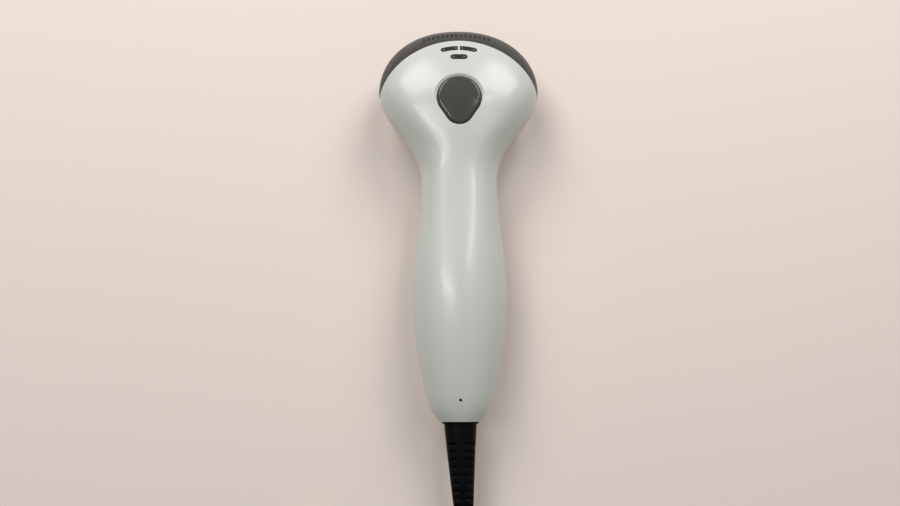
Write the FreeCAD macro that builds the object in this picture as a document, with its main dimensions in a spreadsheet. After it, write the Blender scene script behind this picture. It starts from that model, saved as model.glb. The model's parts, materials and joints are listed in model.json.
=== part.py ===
import FreeCAD, Part
import math
import os
import Sketcher
from FreeCAD import Placement, Rotation, Vector

# Handheld laser barcode scanner with a detachable cable.
# Millimetres.  +Y points from the cable end to the scanning window, +X is to
# the right of someone holding it, +Z is up.  The origin is under the middle
# of the scanner, on the surface that it lies on.

doc = FreeCAD.newDocument("barcode_scanner")
sheet = doc.addObject("Spreadsheet::Sheet", "Sizes")

SIZES = [
    # body
    ("tail_y", -97.0), ("nose_reach", 194.6), ("head_half_width", 39.5), ("head_height", 40.3),
    ("nose_height", 15.0), ("seam_height", 21.0), ("wall", 2.2), ("seam_gap", 0.2),
    ("plateau_radius", 90.0), ("edge_softness", 0.85),
    ("tail_opening_width", 16.4), ("tail_opening_height", 12.8), ("tail_axis_z", 17.2),
    ("tail_opening_corner", 6.2), ("foot_flat", 0.3),
    # trigger button
    ("button_y", 52.5), ("button_radius", 10.35), ("button_tip_radius", 6.65), ("button_tip_drop", 6.7),
    ("button_gap", 0.35), ("button_bevel", 1.7),
    # status lenses
    ("lens_y", 79.6), ("lens_arc_radius", 26.0), ("lens_width", 2.7), ("lens_half_span", 8.8),
    ("lens_bridge", 1.0), ("lower_lens_y", 74.0), ("lower_lens_length", 8.2), ("lower_lens_width", 3.0),
    ("lens_base_z", 30.9),
    # release pinhole
    ("pinhole_y", -87.6), ("pinhole_radius", 0.65),
    # bezel and window
    ("mouth_half_width", 25.0), ("mouth_height", 12.0), ("mouth_z", 15.5), ("mouth_flare", 0.8),
    ("mouth_corner", 5.9), ("window_y", 82.0), ("window_thickness", 2.0), ("window_width", 54.0),
    ("window_height", 14.8), ("window_corner", 7.0), ("gasket_thickness", 0.8), ("gasket_border", 1.3),
    # boards
    ("board_thickness", 1.6), ("board_corner", 1.5),
    ("main_board_z", 12.0), ("main_board_y", -69.0), ("main_board_length", 67.0), ("main_board_width", 27.0),
    ("engine_board_z", 27.5), ("engine_board_y", 40.0), ("engine_board_length", 37.0),
    ("engine_board_width", 40.0),
    # scan engine
    ("chassis_z", 7.5), ("chassis_y", 50.0), ("chassis_length", 28.0), ("chassis_width", 40.0),
    ("chassis_floor", 2.0), ("post_radius", 2.4), ("beam_z", 14.5), ("mirror_x", -1.0), ("mirror_y", 63.0),
    ("shaft_radius", 0.7), ("shaft_clearance", 0.05), ("mirror_length", 10.0), ("mirror_height", 8.0),
    ("mirror_thickness", 1.0), ("rotor_bore_wall", 1.1), ("laser_radius", 3.5), ("laser_length", 11.0),
    # trigger switch
    ("switch_y", 49.0), ("switch_side", 6.2), ("switch_height", 3.6), ("plunger_radius", 1.6),
    ("plunger_height", 1.4), ("plunger_gap", 0.36),
    # fasteners
    ("housing_screw_x", 26.0), ("housing_screw_y", 66.0), ("handle_screw_y", -50.0),
    ("screw_radius", 1.3), ("screw_head_radius", 2.6), ("screw_head_height", 1.8),
    ("boss_radius", 4.2), ("post_outer_radius", 3.2),
    # socket and plug
    ("socket_y", -87.0), ("socket_length", 18.0), ("socket_width", 15.4), ("socket_height", 11.8),
    ("plug_width", 11.6), ("plug_height", 6.6), ("plug_length", 20.4), ("plug_y", -93.4),
    ("latch_width", 6.0), ("latch_thickness", 1.0), ("latch_gap", 0.05),
    # cable
    ("boot_width", 14.9), ("boot_height", 11.6), ("boot_tip", 6.6), ("cable_radius", 2.5),
    ("coil_x", -27.0), ("coil_y", -225.0), ("coil_mean_radius", 29.0), ("coil_band_width", 20.2),
    ("coil_band_height", 10.1), ("coil_lift", 0.9), ("tie_thickness", 0.7), ("tie_angle", 18.0),
    ("usb_width", 16.4), ("usb_height", 8.6), ("usb_grip_length", 29.0), ("usb_shell_width", 12.0),
    ("usb_shell_height", 4.5), ("usb_shell_length", 14.0), ("usb_shell_wall", 0.35),
]
for row, (alias, number) in enumerate(SIZES, start=1):
    sheet.set("A%d" % row, alias)
    sheet.set("B%d" % row, str(number))
    sheet.setAlias("B%d" % row, alias)
doc.recompute()


def size(alias):
    return float(sheet.get(alias))


pieces = []


def keep(obj, label):
    """Name a finished sub-part; its label is its node's name."""
    obj.Label = label
    pieces.append(obj)
    return obj


def bind(obj, **sizes):
    """Tie properties to formulas of the sheet's aliases."""
    for prop, formula in sizes.items():
        obj.setExpression(prop.replace("__", "."), formula)


def place(obj, x="0", y="0", z="0", axis=None, angle=0.0):
    """Put an object at formulas of the sheet, turned about an axis."""
    if axis is not None:
        obj.Placement = Placement(Vector(), Rotation(axis, angle))
    bind(obj, Placement__Base__x=sheeted(x), Placement__Base__y=sheeted(y), Placement__Base__z=sheeted(z))
    return obj


def sheeted(formula):
    """Write Sizes. in front of each alias of a formula."""
    words = []
    word = ""
    for letter in str(formula) + " ":
        if letter.isalnum() or letter in "_.":
            word += letter
            continue
        words.append("Sizes." + word if word in ALIASES else word)
        words.append(letter)
        word = ""
    return "".join(words).strip()


ALIASES = {alias for alias, number in SIZES}


def box(name, length, width, height, x, y, z, axis=None, angle=0.0):
    """A block centred on x, from y on and from z up."""
    block = doc.addObject("Part::Box", name)
    bind(block, Length=sheeted(length), Width=sheeted(width), Height=sheeted(height))
    return place(block, "(%s) - (%s) / 2" % (x, length), y, z, axis, angle)


def rod(name, radius, height, x, y, z, axis=None, angle=0.0):
    """A round bar that stands on x, y, z."""
    bar = doc.addObject("Part::Cylinder", name)
    bind(bar, Radius=sheeted(radius), Height=sheeted(height))
    return place(bar, x, y, z, axis, angle)


def cut(name, base, tool):
    result = doc.addObject("Part::Cut", name)
    result.Base = base
    result.Tool = tool
    return result


def fuse(name, members):
    result = doc.addObject("Part::MultiFuse", name)
    result.Shapes = members
    return result


def group(name, members):
    """Identical or related small pieces that share one node."""
    result = doc.addObject("Part::Compound", name)
    result.Links = members
    return result


def feature(name, shape):
    result = doc.addObject("Part::Feature", name)
    result.Shape = shape
    return result


def origin_plane(body, role):
    return [f for f in body.Origin.OriginFeatures if f.Role == role][0]


def sketch(body, role="XY_Plane"):
    """An empty sketch on one of the body's own planes."""
    drawing = body.newObject("Sketcher::SketchObject", body.Name + "_sketch")
    drawing.AttachmentSupport = (origin_plane(body, role), [""])
    drawing.MapMode = "FlatFace"
    return drawing


def draw_rectangle(drawing, width, height):
    """A rectangle centred on the sketch's origin, sized by the sheet."""
    a, b = 5.0, 3.0
    corners = [Vector(-a, -b, 0), Vector(a, -b, 0), Vector(a, b, 0), Vector(-a, b, 0)]
    for i in range(4):
        drawing.addGeometry(Part.LineSegment(corners[i], corners[(i + 1) % 4]), False)
    for i in range(4):
        drawing.addConstraint(Sketcher.Constraint("Coincident", i, 2, (i + 1) % 4, 1))
    for side in (0, 2):
        drawing.addConstraint(Sketcher.Constraint("Horizontal", side))
    for side in (1, 3):
        drawing.addConstraint(Sketcher.Constraint("Vertical", side))
    drawing.addConstraint(Sketcher.Constraint("Symmetric", 0, 1, 2, 1, -1, 1))
    wide = drawing.addConstraint(Sketcher.Constraint("DistanceX", 0, 1, 0, 2, 2 * a))
    tall = drawing.addConstraint(Sketcher.Constraint("DistanceY", 1, 1, 1, 2, 2 * b))
    drawing.setExpression("Constraints[%d]" % wide, sheeted(width))
    drawing.setExpression("Constraints[%d]" % tall, sheeted(height))


def draw_circle(drawing, radius, x=0.0, y=0.0):
    """A circle whose radius is bound to the sheet."""
    ring = drawing.addGeometry(Part.Circle(Vector(x, y, 0), Vector(0, 0, 1), 1.0), False)
    bound = drawing.addConstraint(Sketcher.Constraint("Radius", ring, 1.0))
    drawing.setExpression("Constraints[%d]" % bound, sheeted(radius))


def pad(body, drawing, length):
    solid = body.newObject("PartDesign::Pad", body.Name + "_pad")
    solid.Profile = drawing
    bind(solid, Length=sheeted(length))
    drawing.Visibility = False
    return solid


def pocket(body, drawing, length, upwards=True):
    """Cut a sketch into the body, and check that it removes something."""
    doc.recompute()
    before = body.Shape.Volume
    hole = body.newObject("PartDesign::Pocket", body.Name + "_pocket")
    hole.Profile = drawing
    hole.Reversed = upwards
    bind(hole, Length=sheeted(length))
    doc.recompute()
    if body.Shape.Volume > before - 0.01:
        raise ValueError("a pocket cuts nothing in " + body.Name)
    return hole


def new_body(name):
    return doc.addObject("PartDesign::Body", name)


def round_edges(body, base, direction, radius):
    """Fillet the base feature's straight edges that run along one direction."""
    doc.recompute()
    names = []
    for number, edge in enumerate(base.Shape.Edges, start=1):
        if edge.Curve.TypeId != "Part::GeomLine":
            continue
        along = edge.tangentAt(edge.FirstParameter)
        if abs(along.dot(direction)) > 0.99:
            names.append("Edge%d" % number)
    fillet = body.newObject("PartDesign::Fillet", body.Name + "_fillet")
    fillet.Base = (base, names)
    bind(fillet, Radius=sheeted(radius))
    return fillet


def plate(name, width, length, thickness, x, y, z, corner, holes=()):
    """A rounded plate that lies flat: y is its rear edge, z its underside."""
    body = new_body(name)
    outline = sketch(body)
    draw_rectangle(outline, width, length)
    slab = pad(body, outline, thickness)
    round_edges(body, slab, Vector(0, 0, 1), corner)
    if holes:
        drill = sketch(body)
        for hole_x, hole_y, radius in holes:
            draw_circle(drill, radius, hole_x, hole_y)
        pocket(body, drill, thickness)
    return place(body, x, "%s + %s / 2" % (y, length), z)


# ---------------------------------------------------------------- body skin

# One row per cross-section, from the cable end to the shoulders of the head:
# distance from the cable end, half width, height of the widest line, top,
# underside, share of the flat-topped spine, half width of that spine.
SECTIONS = [
    (0.0, 9.1, 17.2, 24.5, 9.9, 0.0, 7.0),
    (2.5, 11.2, 17.2, 25.7, 9.2, 0.0, 7.0),
    (6.5, 13.6, 17.3, 27.3, 7.9, 0.0, 7.0),
    (13.0, 15.7, 17.4, 29.1, 6.4, 0.0, 7.0),
    (24.0, 18.3, 17.6, 31.4, 4.0, 0.0, 7.0),
    (40.0, 20.9, 17.8, 33.9, 1.3, 0.0, 7.0),
    (58.0, 22.2, 18.0, 35.4, -0.3, 0.0, 7.0),
    (76.0, 21.3, 18.6, 35.6, 1.0, 0.15, 7.0),
    (94.0, 19.3, 19.5, 35.0, 4.6, 0.6, 7.0),
    (108.0, 18.5, 20.2, 34.8, 7.6, 0.95, 7.0),
    (118.0, 18.9, 20.6, 35.4, 8.6, 1.0, 7.2),
    (126.0, 21.7, 20.9, 36.6, 8.4, 1.0, 9.2),
    (134.0, 26.6, 21.0, 38.0, 7.0, 1.0, 14.2),
    (142.0, 32.3, 21.0, 39.3, 4.6, 0.8, 20.0),
    (150.0, 37.0, 21.0, 40.2, 2.4, 0.4, 25.0),
    (157.0, 39.3, 21.0, 39.9, 0.7, 0.12, 29.0),
]
WIDEST = 159.5          # distance from the cable end to the head's widest section
CROWN_START = 147.5     # where the top begins to fall towards the nose
BELLY_START = 164.0     # where the underside begins to rise towards the nose
NOSE_CUT = math.radians(80)
NOSE_SPINE_SHARE = 0.74
NOSE_STEPS = (0.12, 0.25, 0.37, 0.48, 0.58, 0.67, 0.76, 0.84, 0.92, 1.0)
PLAN_POWER = 2.0
CROWN_POWER = 2.13
BELLY_POWER = 2.2
BELLY_POINTS = 17       # points round the underside, between the two seam points
PLATEAU_STEPS = (0.0, 0.35, 0.65, 0.86, 1.0, 1.14)      # shares of the spine's half width
FLANK_POINTS = 6        # points from the spine's edge down to the seam
HEAD_FROM = 100.0       # from here on the handle's section turns into the head's
HEAD_BLEND = 50.0       # over this distance
UPPER_POWERS = (2.05, 2.2)      # roundness of the handle's and the head's upper half
LOWER_POWERS = (2.1, 2.6)       # and of their lower half


def superellipse(fraction, power):
    """Height, 0 to 1, of a superellipse at a fraction of its half length."""
    return max(0.0, 1.0 - max(0.0, fraction) ** power) ** (1.0 / power)


def nose_section(step):
    """A cross-section of the rounded nose, ahead of the widest one."""
    reach = size("nose_reach")
    nose = size("nose_height")
    turn = NOSE_CUT * step
    half_width = size("head_half_width") * math.cos(turn) ** (2 / PLAN_POWER)
    distance = WIDEST + (reach - WIDEST) * math.sin(turn) ** (2 / PLAN_POWER)
    crown_at = (distance - CROWN_START) / (reach - CROWN_START)
    belly_at = (distance - BELLY_START) / (reach - BELLY_START)
    seam_at = (distance - WIDEST) / (reach - WIDEST)
    top = nose + (size("head_height") - nose) * superellipse(crown_at, CROWN_POWER)
    lift = nose + size("foot_flat")
    underside = nose - lift * superellipse(belly_at, BELLY_POWER)
    seam = nose + (size("seam_height") - nose) * superellipse(seam_at, 2.0)
    return (distance, half_width, seam, top, underside, 0.0, NOSE_SPINE_SHARE * half_width)


def soft_minimum(a, b):
    softness = size("edge_softness")
    return 0.5 * (a + b - math.sqrt((a - b) ** 2 + softness ** 2))


def spine_height(x, rise, roundness, power, half_width, spine):
    """Height over the seam of a section with a flat spine and soft shoulders."""
    dip = spine ** 2 / (2 * size("plateau_radius"))
    flank_top = (rise - dip) / (1 - (spine / half_width) ** power) ** (1 / power)
    flat = rise - x ** 2 / (2 * size("plateau_radius"))
    centre = soft_minimum(rise, flank_top)
    height = soft_minimum(flat, flank_top * roundness) + rise - centre
    near_seam = min(1.0, roundness / 0.15)
    return near_seam * height + (1 - near_seam) * rise * roundness


def upper_places(half_width, spine):
    """Sideways places of a section's upper points, from its right to its left."""
    edge = spine * PLATEAU_STEPS[-1]
    widest_turn = math.acos(edge / half_width)
    flank = [half_width * math.cos(widest_turn * i / FLANK_POINTS) for i in range(FLANK_POINTS)]
    crown = [spine * step for step in reversed(PLATEAU_STEPS)]
    right = flank + crown
    return right + [-x for x in reversed(right[:-1])]


def section_points(row, inset):
    """Points round one cross-section, moved inwards by inset."""
    distance, half_width, seam, top, underside, share, spine = row
    reach = size("nose_reach")
    y = size("tail_y") + inset + distance * (reach - 2 * inset) / reach
    spine *= (half_width - inset) / half_width
    half_width -= inset
    rise = top - inset - seam
    drop = seam - underside - inset
    headness = min(1.0, max(0.0, (distance - HEAD_FROM) / HEAD_BLEND))
    points = []
    power = UPPER_POWERS[0] + (UPPER_POWERS[1] - UPPER_POWERS[0]) * headness
    for x in upper_places(half_width, spine):
        roundness = superellipse(abs(x) / half_width, power)
        height = rise * roundness
        if share > 0:
            ridged = spine_height(x, rise, roundness, power, half_width, spine)
            height = (1 - share) * height + share * ridged
        points.append(Vector(x, y, seam + height))
    power = LOWER_POWERS[0] + (LOWER_POWERS[1] - LOWER_POWERS[0]) * headness
    for i in range(1, BELLY_POINTS + 1):
        turn = math.pi * i / (BELLY_POINTS + 1)
        x = -half_width * math.copysign(abs(math.cos(turn)) ** (2 / power), math.cos(turn))
        points.append(Vector(x, y, seam - drop * math.sin(turn) ** (2 / power)))
    return points


def shared_knots(sections):
    """Knots for all sections: how far round each point is, 0 to 1, on average."""
    totals = [0.0] * (len(sections[0]) + 1)
    for points in sections:
        chords = [(b - a).Length for a, b in zip(points, points[1:] + points[:1])]
        travelled = 0.0
        for i, chord in enumerate(chords):
            travelled += chord
            totals[i + 1] += travelled / sum(chords) / len(sections)
    return totals


def skin(inset):
    """The body's outer form, or the same form moved inwards by inset."""
    rows = SECTIONS + [nose_section(step) for step in NOSE_STEPS]
    sections = [section_points(row, inset) for row in rows]
    knots = shared_knots(sections)
    wires = []
    for points in sections:
        curve = Part.BSplineCurve()
        curve.interpolate(Points=points, PeriodicFlag=True, Parameters=knots)
        wires.append(Part.Wire([curve.toShape()]))
    return Part.makeLoft(wires, True, False)


def height_at(shape, x, y, top=True):
    """Where an upright line leaves a shape, at its top or its underside."""
    line = Part.makeLine(Vector(x, y, -20), Vector(x, y, 60))
    inside = shape.common(line)
    return inside.BoundBox.ZMax if top else inside.BoundBox.ZMin


def prism(wire, z_low, z_high):
    """An upright solid on a flat wire."""
    face = Part.Face(wire)
    face.translate(Vector(0, 0, z_low - face.BoundBox.ZMin))
    return face.extrude(Vector(0, 0, z_high - z_low))


def teardrop(offset, z):
    """The trigger's outline: a large arc in front, a small one behind."""
    radius = size("button_radius") + offset
    tip = size("button_tip_radius") + offset
    drop = size("button_tip_drop")
    centre = size("button_y")
    lean = math.asin((radius - tip) / drop)
    c, s = math.cos(lean), math.sin(lean)
    shoulder = [Vector(side * radius * c, centre - radius * s, z) for side in (1, -1)]
    heel = [Vector(side * tip * c, centre - drop - tip * s, z) for side in (1, -1)]
    front = Part.Arc(shoulder[0], Vector(0, centre + radius, z), shoulder[1])
    back = Part.Arc(heel[1], Vector(0, centre - drop - tip, z), heel[0])
    left = Part.LineSegment(shoulder[1], heel[1])
    right = Part.LineSegment(heel[0], shoulder[0])
    return Part.Wire([front.toShape(), left.toShape(), back.toShape(), right.toShape()])


def arc_slot(x_from, x_to, offset):
    """A slot that follows an arc across the head, with rounded ends."""
    arc = size("lens_arc_radius")
    half = size("lens_width") / 2 + offset
    centre = size("lens_y") - arc
    start = math.asin(x_from / arc)
    end = math.asin(x_to / arc)

    def at(radius, turn):
        return Vector(radius * math.sin(turn), centre + radius * math.cos(turn), 0)

    middle = (start + end) / 2
    outer = Part.Arc(at(arc + half, start), at(arc + half, middle), at(arc + half, end))
    inner = Part.Arc(at(arc - half, end), at(arc - half, middle), at(arc - half, start))
    ahead = at(arc, end) + Vector(math.cos(end), -math.sin(end), 0) * half
    behind = at(arc, start) - Vector(math.cos(start), -math.sin(start), 0) * half
    right = Part.Arc(at(arc + half, end), ahead, at(arc - half, end))
    left = Part.Arc(at(arc - half, start), behind, at(arc + half, start))
    return Part.Wire([edge.toShape() for edge in (outer, right, inner, left)])


def lower_slot(offset):
    """The short straight slot behind the arc."""
    half = size("lower_lens_width") / 2
    straight = size("lower_lens_length") / 2 - half
    radius = half + offset
    y = size("lower_lens_y")
    corners = [Vector(-straight, y + radius, 0), Vector(straight, y + radius, 0),
               Vector(straight, y - radius, 0), Vector(-straight, y - radius, 0)]
    edges = [Part.LineSegment(corners[0], corners[1]),
             Part.Arc(corners[1], Vector(straight + radius, y, 0), corners[2]),
             Part.LineSegment(corners[2], corners[3]),
             Part.Arc(corners[3], Vector(-straight - radius, y, 0), corners[0])]
    return Part.Wire([edge.toShape() for edge in edges])


def lens_prisms(offset):
    """The three status windows: two halves of an arc with a bridge between, and a short slot."""
    low = size("lens_base_z")
    span = size("lens_half_span") - size("lens_width") / 2
    arc = prism(arc_slot(-span, span, offset), low, 60.0)
    half_bridge = size("lens_bridge") / 2 - offset
    bridge = block(-half_bridge, 0, 0, 2 * half_bridge, 200, 100)
    halves = sorted(arc.cut(bridge).Solids, key=lambda solid: solid.BoundBox.XMin)
    return {"left": halves[0], "right": halves[1], "lower": prism(lower_slot(offset), low, 60.0)}


def rounded_rectangle(half_width, half_height, corner, y, z):
    """An upright rounded rectangle that faces along Y."""
    a, b, r = half_width, half_height, corner
    k = r * (1 - math.sqrt(0.5))
    points = [(-a + r, b), (a - r, b), (a, b - r), (a, -b + r), (a - r, -b), (-a + r, -b),
              (-a, -b + r), (-a, b - r)]
    bends = [(a - k, b - k), (a - k, -b + k), (-a + k, -b + k), (-a + k, b - k)]
    corner_at = [Vector(px, y, z + pz) for px, pz in points]
    bend_at = [Vector(px, y, z + pz) for px, pz in bends]
    edges = []
    for i in range(4):
        edges.append(Part.LineSegment(corner_at[2 * i], corner_at[2 * i + 1]).toShape())
        edges.append(Part.Arc(corner_at[2 * i + 1], bend_at[i], corner_at[(2 * i + 2) % 8]).toShape())
    return Part.Wire(edges)


outer = skin(0.0)
middle = skin(size("wall") / 2)
inner = skin(size("wall"))
FAR = 400.0

# The bezel's rear edge, seen from above: an arch that meets the head's sides.
ARCH_HALF_WIDTH = 40.75
ARCH_FOOT_Y = 50.6
ARCH_TOP_Y = 85.0
ARCH_POWER = 1.81


def arch_line(offset):
    """Points along the bezel's rear edge, from its left foot to its right."""
    points = []
    for i in range(25):
        turn = math.pi * (1 - i / 24.0)
        c, s = math.cos(turn), math.sin(turn)
        x = (ARCH_HALF_WIDTH + offset) * math.copysign(abs(c) ** (2 / ARCH_POWER), c)
        y = ARCH_FOOT_Y + (ARCH_TOP_Y - ARCH_FOOT_Y + offset) * s ** (2 / ARCH_POWER)
        points.append(Vector(x, y, 0))
    return points


def ahead_of_arch(offset):
    """Everything in front of the bezel's rear edge, moved forwards by offset."""
    arch = Part.BSplineCurve()
    points = arch_line(offset)
    arch.interpolate(points)
    front = points[-1].y + 90.0
    corners = [points[-1], Vector(points[-1].x, front, 0), Vector(points[0].x, front, 0), points[0]]
    edges = [arch.toShape()]
    for a, b in zip(corners, corners[1:]):
        edges.append(Part.LineSegment(a, b).toShape())
    return prism(Part.Wire(edges), -20.0, 80.0)


def block(x, y, z, length, width, height):
    """A plain block from its lowest corner."""
    return Part.makeBox(length, width, height, Vector(x, y, z))


def seam_band(half_gap):
    """A thin sheet of space along the line where the two shells meet."""
    rows = SECTIONS + [nose_section(step) for step in NOSE_STEPS]
    tail = size("tail_y")
    line = [Vector(0, tail - 5, rows[0][2])] + [Vector(0, tail + r[0], r[2]) for r in rows[::3]]
    line.append(Vector(0, tail + size("nose_reach") + 5, rows[-1][2]))
    curve = Part.BSplineCurve()
    curve.interpolate(line)
    low = curve.toShape().translated(Vector(-FAR / 2, 0, -half_gap))
    high = curve.toShape().translated(Vector(-FAR / 2, 0, half_gap))
    ends = [Part.LineSegment(low.Vertexes[i].Point, high.Vertexes[i].Point).toShape() for i in (0, 1)]
    face = Part.Face(Part.Wire(Part.__sortEdges__([low, high] + ends)))
    return face.extrude(Vector(FAR, 0, 0))


def above_seam():
    """All the space over the line where the two shells meet."""
    band = seam_band(30.0)
    return band.translated(Vector(0, 0, 30.0))


# ---------------------------------------------------------------- housing

wall = size("wall")
tail = size("tail_y")
hairline = size("seam_gap") / 2
upper_space = above_seam()
walls = outer.cut(inner)

tail_mouth = rounded_rectangle(size("tail_opening_width") / 2, size("tail_opening_height") / 2,
                               size("tail_opening_corner"), tail - 1.0, size("tail_axis_z"))
tail_hole = Part.Face(tail_mouth).extrude(Vector(0, wall + 4.0, 0))
housing = walls.cut([tail_hole, ahead_of_arch(-hairline)])
upper = housing.common(upper_space.translated(Vector(0, 0, hairline)))
lower = housing.cut(upper_space.translated(Vector(0, 0, -hairline)))

# Screw bosses on the bottom shell, and posts that they meet on the top shell.
HEAD_SEAT = 7.0         # height of the screw heads' seats in the head
HANDLE_SEAT = 5.0       # height of the screw head's seat in the handle
SCREW_LENGTH = 16.0
BOSS_JOINT = 19.0       # height where boss and post meet
screw_places = [(size("housing_screw_x"), size("housing_screw_y"), HEAD_SEAT),
                (-size("housing_screw_x"), size("housing_screw_y"), HEAD_SEAT),
                (0.0, size("handle_screw_y"), HANDLE_SEAT)]
screw_radius = size("screw_radius")


def upright(radius, height, x, y, z):
    return Part.makeCylinder(radius, height, Vector(x, y, z))


bosses = [upright(size("boss_radius"), BOSS_JOINT, x, y, 0) for x, y, seat in screw_places]
posts = [upright(size("post_outer_radius"), 40, x, y, BOSS_JOINT + 0.1) for x, y, seat in screw_places]
bosses = [boss.common(middle) for boss in bosses]
posts = [post.common(middle) for post in posts]
recesses = [upright(size("screw_head_radius") + 0.3, seat + 10, x, y, -10) for x, y, seat in screw_places]
passages = [upright(screw_radius + 0.2, BOSS_JOINT + 5, x, y, 0) for x, y, seat in screw_places]
pilots = [upright(screw_radius, seat + SCREW_LENGTH + 1.5 - BOSS_JOINT, x, y, BOSS_JOINT)
          for x, y, seat in screw_places]

# Sound holes for the beeper, under the handle.
BEEPER_Y = -14.0
SOUND_HOLE_PITCH = 3.0
SOUND_HOLE_RADIUS = 0.6
sound_holes = [upright(SOUND_HOLE_RADIUS, 14.0, column * SOUND_HOLE_PITCH, BEEPER_Y, -2.0)
               for column in (-1, 0, 1)]

# The trigger's opening has a dished rim; the pinhole lets a pin reach the plug's latch.
button_top = size("head_height")
gap = size("button_gap")
button_hole = prism(teardrop(gap, 0.0), 30.0, 50.0)
rim = Part.makeLoft([teardrop(gap, button_top - 1.5),
                     teardrop(gap + size("button_bevel") * 2.2, button_top + 0.7)], True, True)
lens_holes = [hole.translated(Vector(0, 0, -3.0)) for hole in lens_prisms(0.05).values()]
pinhole = upright(size("pinhole_radius"), 15.0, 0, size("pinhole_y"), 22.0)

upper = upper.fuse(posts).cut([button_hole, rim, pinhole] + lens_holes + pilots)
# The underside is cut level where the scanner rests, under the head and the handle.
ground = block(-60, -150, -10, 120, 300, 10)
lower = lower.fuse(bosses).cut(recesses + passages + sound_holes + [ground])
keep(feature("top_shell", upper), "top_shell")
keep(feature("bottom_shell", lower), "bottom_shell")

# ---------------------------------------------------------------- bezel and window

window_y = size("window_y")
mouth_z = size("mouth_z")
seat_y = window_y + size("window_thickness") + size("gasket_thickness")
half_mouth = size("mouth_half_width")
half_open = size("mouth_height") / 2
SEAT_GAP = 0.05         # room round the window and its gasket
flare = size("mouth_flare")
throat = Part.makeLoft([rounded_rectangle(half_mouth, half_open, size("mouth_corner"), seat_y - 1, mouth_z),
                        rounded_rectangle(half_mouth + flare, half_open + flare,
                                          size("mouth_corner") + flare, tail + 200.0, mouth_z)], True, True)
behind_seat = block(-FAR / 2, -FAR / 2, -50, FAR, FAR / 2 + seat_y, 150)
cavity = inner.common(behind_seat)
half_wide = size("window_width") / 2
half_tall = size("window_height") / 2
pane_seat = Part.Face(rounded_rectangle(half_wide + SEAT_GAP, half_tall + SEAT_GAP,
                                        size("window_corner") + SEAT_GAP, window_y - 1.0, mouth_z))
pane_seat = pane_seat.extrude(Vector(0, seat_y - window_y + 1.0, 0))
bezel = outer.common(ahead_of_arch(hairline)).cut([cavity, throat, pane_seat, ground])
keep(feature("front_bezel", bezel), "front_bezel")

pane = new_body("scan_window")
pane_outline = sketch(pane, "XZ_Plane")
draw_rectangle(pane_outline, "window_width", "window_height")
pane_pad = pad(pane, pane_outline, "window_thickness")
pane_pad.Reversed = True
round_edges(pane, pane_pad, Vector(0, 1, 0), "window_corner")
place(pane, "0", "window_y", "mouth_z")
keep(pane, "scan_window")

border = size("gasket_border")
gasket_y = window_y + size("window_thickness")
gasket_rim = Part.Face([
    rounded_rectangle(half_wide, half_tall, size("window_corner"), gasket_y, mouth_z),
    rounded_rectangle(half_wide - border, half_tall - border, size("window_corner") - border,
                      gasket_y, mouth_z)], "Part::FaceMakerBullseye")
gasket = gasket_rim.extrude(Vector(0, size("gasket_thickness"), 0))
keep(feature("window_gasket", gasket), "window_gasket")

# ---------------------------------------------------------------- trigger

PROUD = 0.55            # the button stands this far out of the shell round it
STEM_RADIUS = 1.8
BUTTON_ROUNDING = 1.5
button_space = prism(teardrop(0.0, 0.0), 30.0, 50.0)
button = button_space.common(skin(-PROUD)).cut(inner)
button = max(button.Solids, key=lambda solid: solid.Volume)
crown = max(button.Faces, key=lambda face: face.CenterOfMass.z)
button = button.makeFillet(BUTTON_ROUNDING, crown.Edges)
switch_top = size("engine_board_z") + size("board_thickness") + size("switch_height")
plunger_top = switch_top + size("plunger_height")
stem_foot = plunger_top + size("plunger_gap")
switch_y = size("switch_y")
stem_head = height_at(inner, 0, switch_y)
stem = Part.makeCylinder(STEM_RADIUS, stem_head - stem_foot + 0.6, Vector(0, switch_y, stem_foot))
keep(feature("trigger_button", button.fuse(stem)), "trigger_button")

switch_body = box("switch_case", "switch_side", "switch_side", "switch_height", "0",
                  "switch_y - switch_side / 2", "engine_board_z + board_thickness")
switch_bore = rod("switch_bore", "plunger_radius + 0.06", "10", "0", "switch_y",
                  "engine_board_z + board_thickness + 1.4")
keep(cut("trigger_switch", switch_body, switch_bore), "trigger_switch")
keep(rod("switch_plunger", "plunger_radius", "switch_height + plunger_height - 2", "0", "switch_y",
         "engine_board_z + board_thickness + 2"), "switch_plunger")

# ---------------------------------------------------------------- status lights

for side, lens_prism in lens_prisms(0.0).items():
    lens = lens_prism.common(outer)
    keep(feature("status_lens_" + side, lens), "status_lens_" + side)
lamp_places = [("0 - lens_half_span * 0.55", "lens_y - 1.6"), ("lens_half_span * 0.55", "lens_y - 1.6"),
               ("0", "lower_lens_y")]
lamps = [box("lamp", "1.6", "0.8", "0.7", x, y + " - 0.4 - 1.3", "engine_board_z + board_thickness")
         for x, y in lamp_places]
keep(group("status_lamps", lamps), "status_lamps")

# ---------------------------------------------------------------- boards

handle_hole_y = size("handle_screw_y") - size("main_board_y") - size("main_board_length") / 2
keep(plate("main_board", "main_board_width", "main_board_length", "board_thickness", "0", "main_board_y",
           "main_board_z", "board_corner", [(0.0, handle_hole_y, "boss_radius + 0.4")]), "main_board")
CHASSIS_EDGE = 3.0      # the chassis posts stand this far in from the sides and the rear
posts_x = size("chassis_width") / 2 - CHASSIS_EDGE
posts_rear = size("chassis_y") + CHASSIS_EDGE
posts_front = size("chassis_y") + size("chassis_length") - CHASSIS_EDGE - 1.0
post_places = [(x, y) for x in (-posts_x, posts_x) for y in (posts_rear, posts_front)]
ENGINE_SCREW_RADIUS = 0.7
engine_board_middle = size("engine_board_y") + size("engine_board_length") / 2
engine_holes = [(x, y - engine_board_middle, ENGINE_SCREW_RADIUS + 0.1) for x, y in post_places]
keep(plate("engine_board", "engine_board_width", "engine_board_length", "board_thickness", "0",
           "engine_board_y", "engine_board_z", "board_corner", engine_holes), "engine_board")

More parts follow.
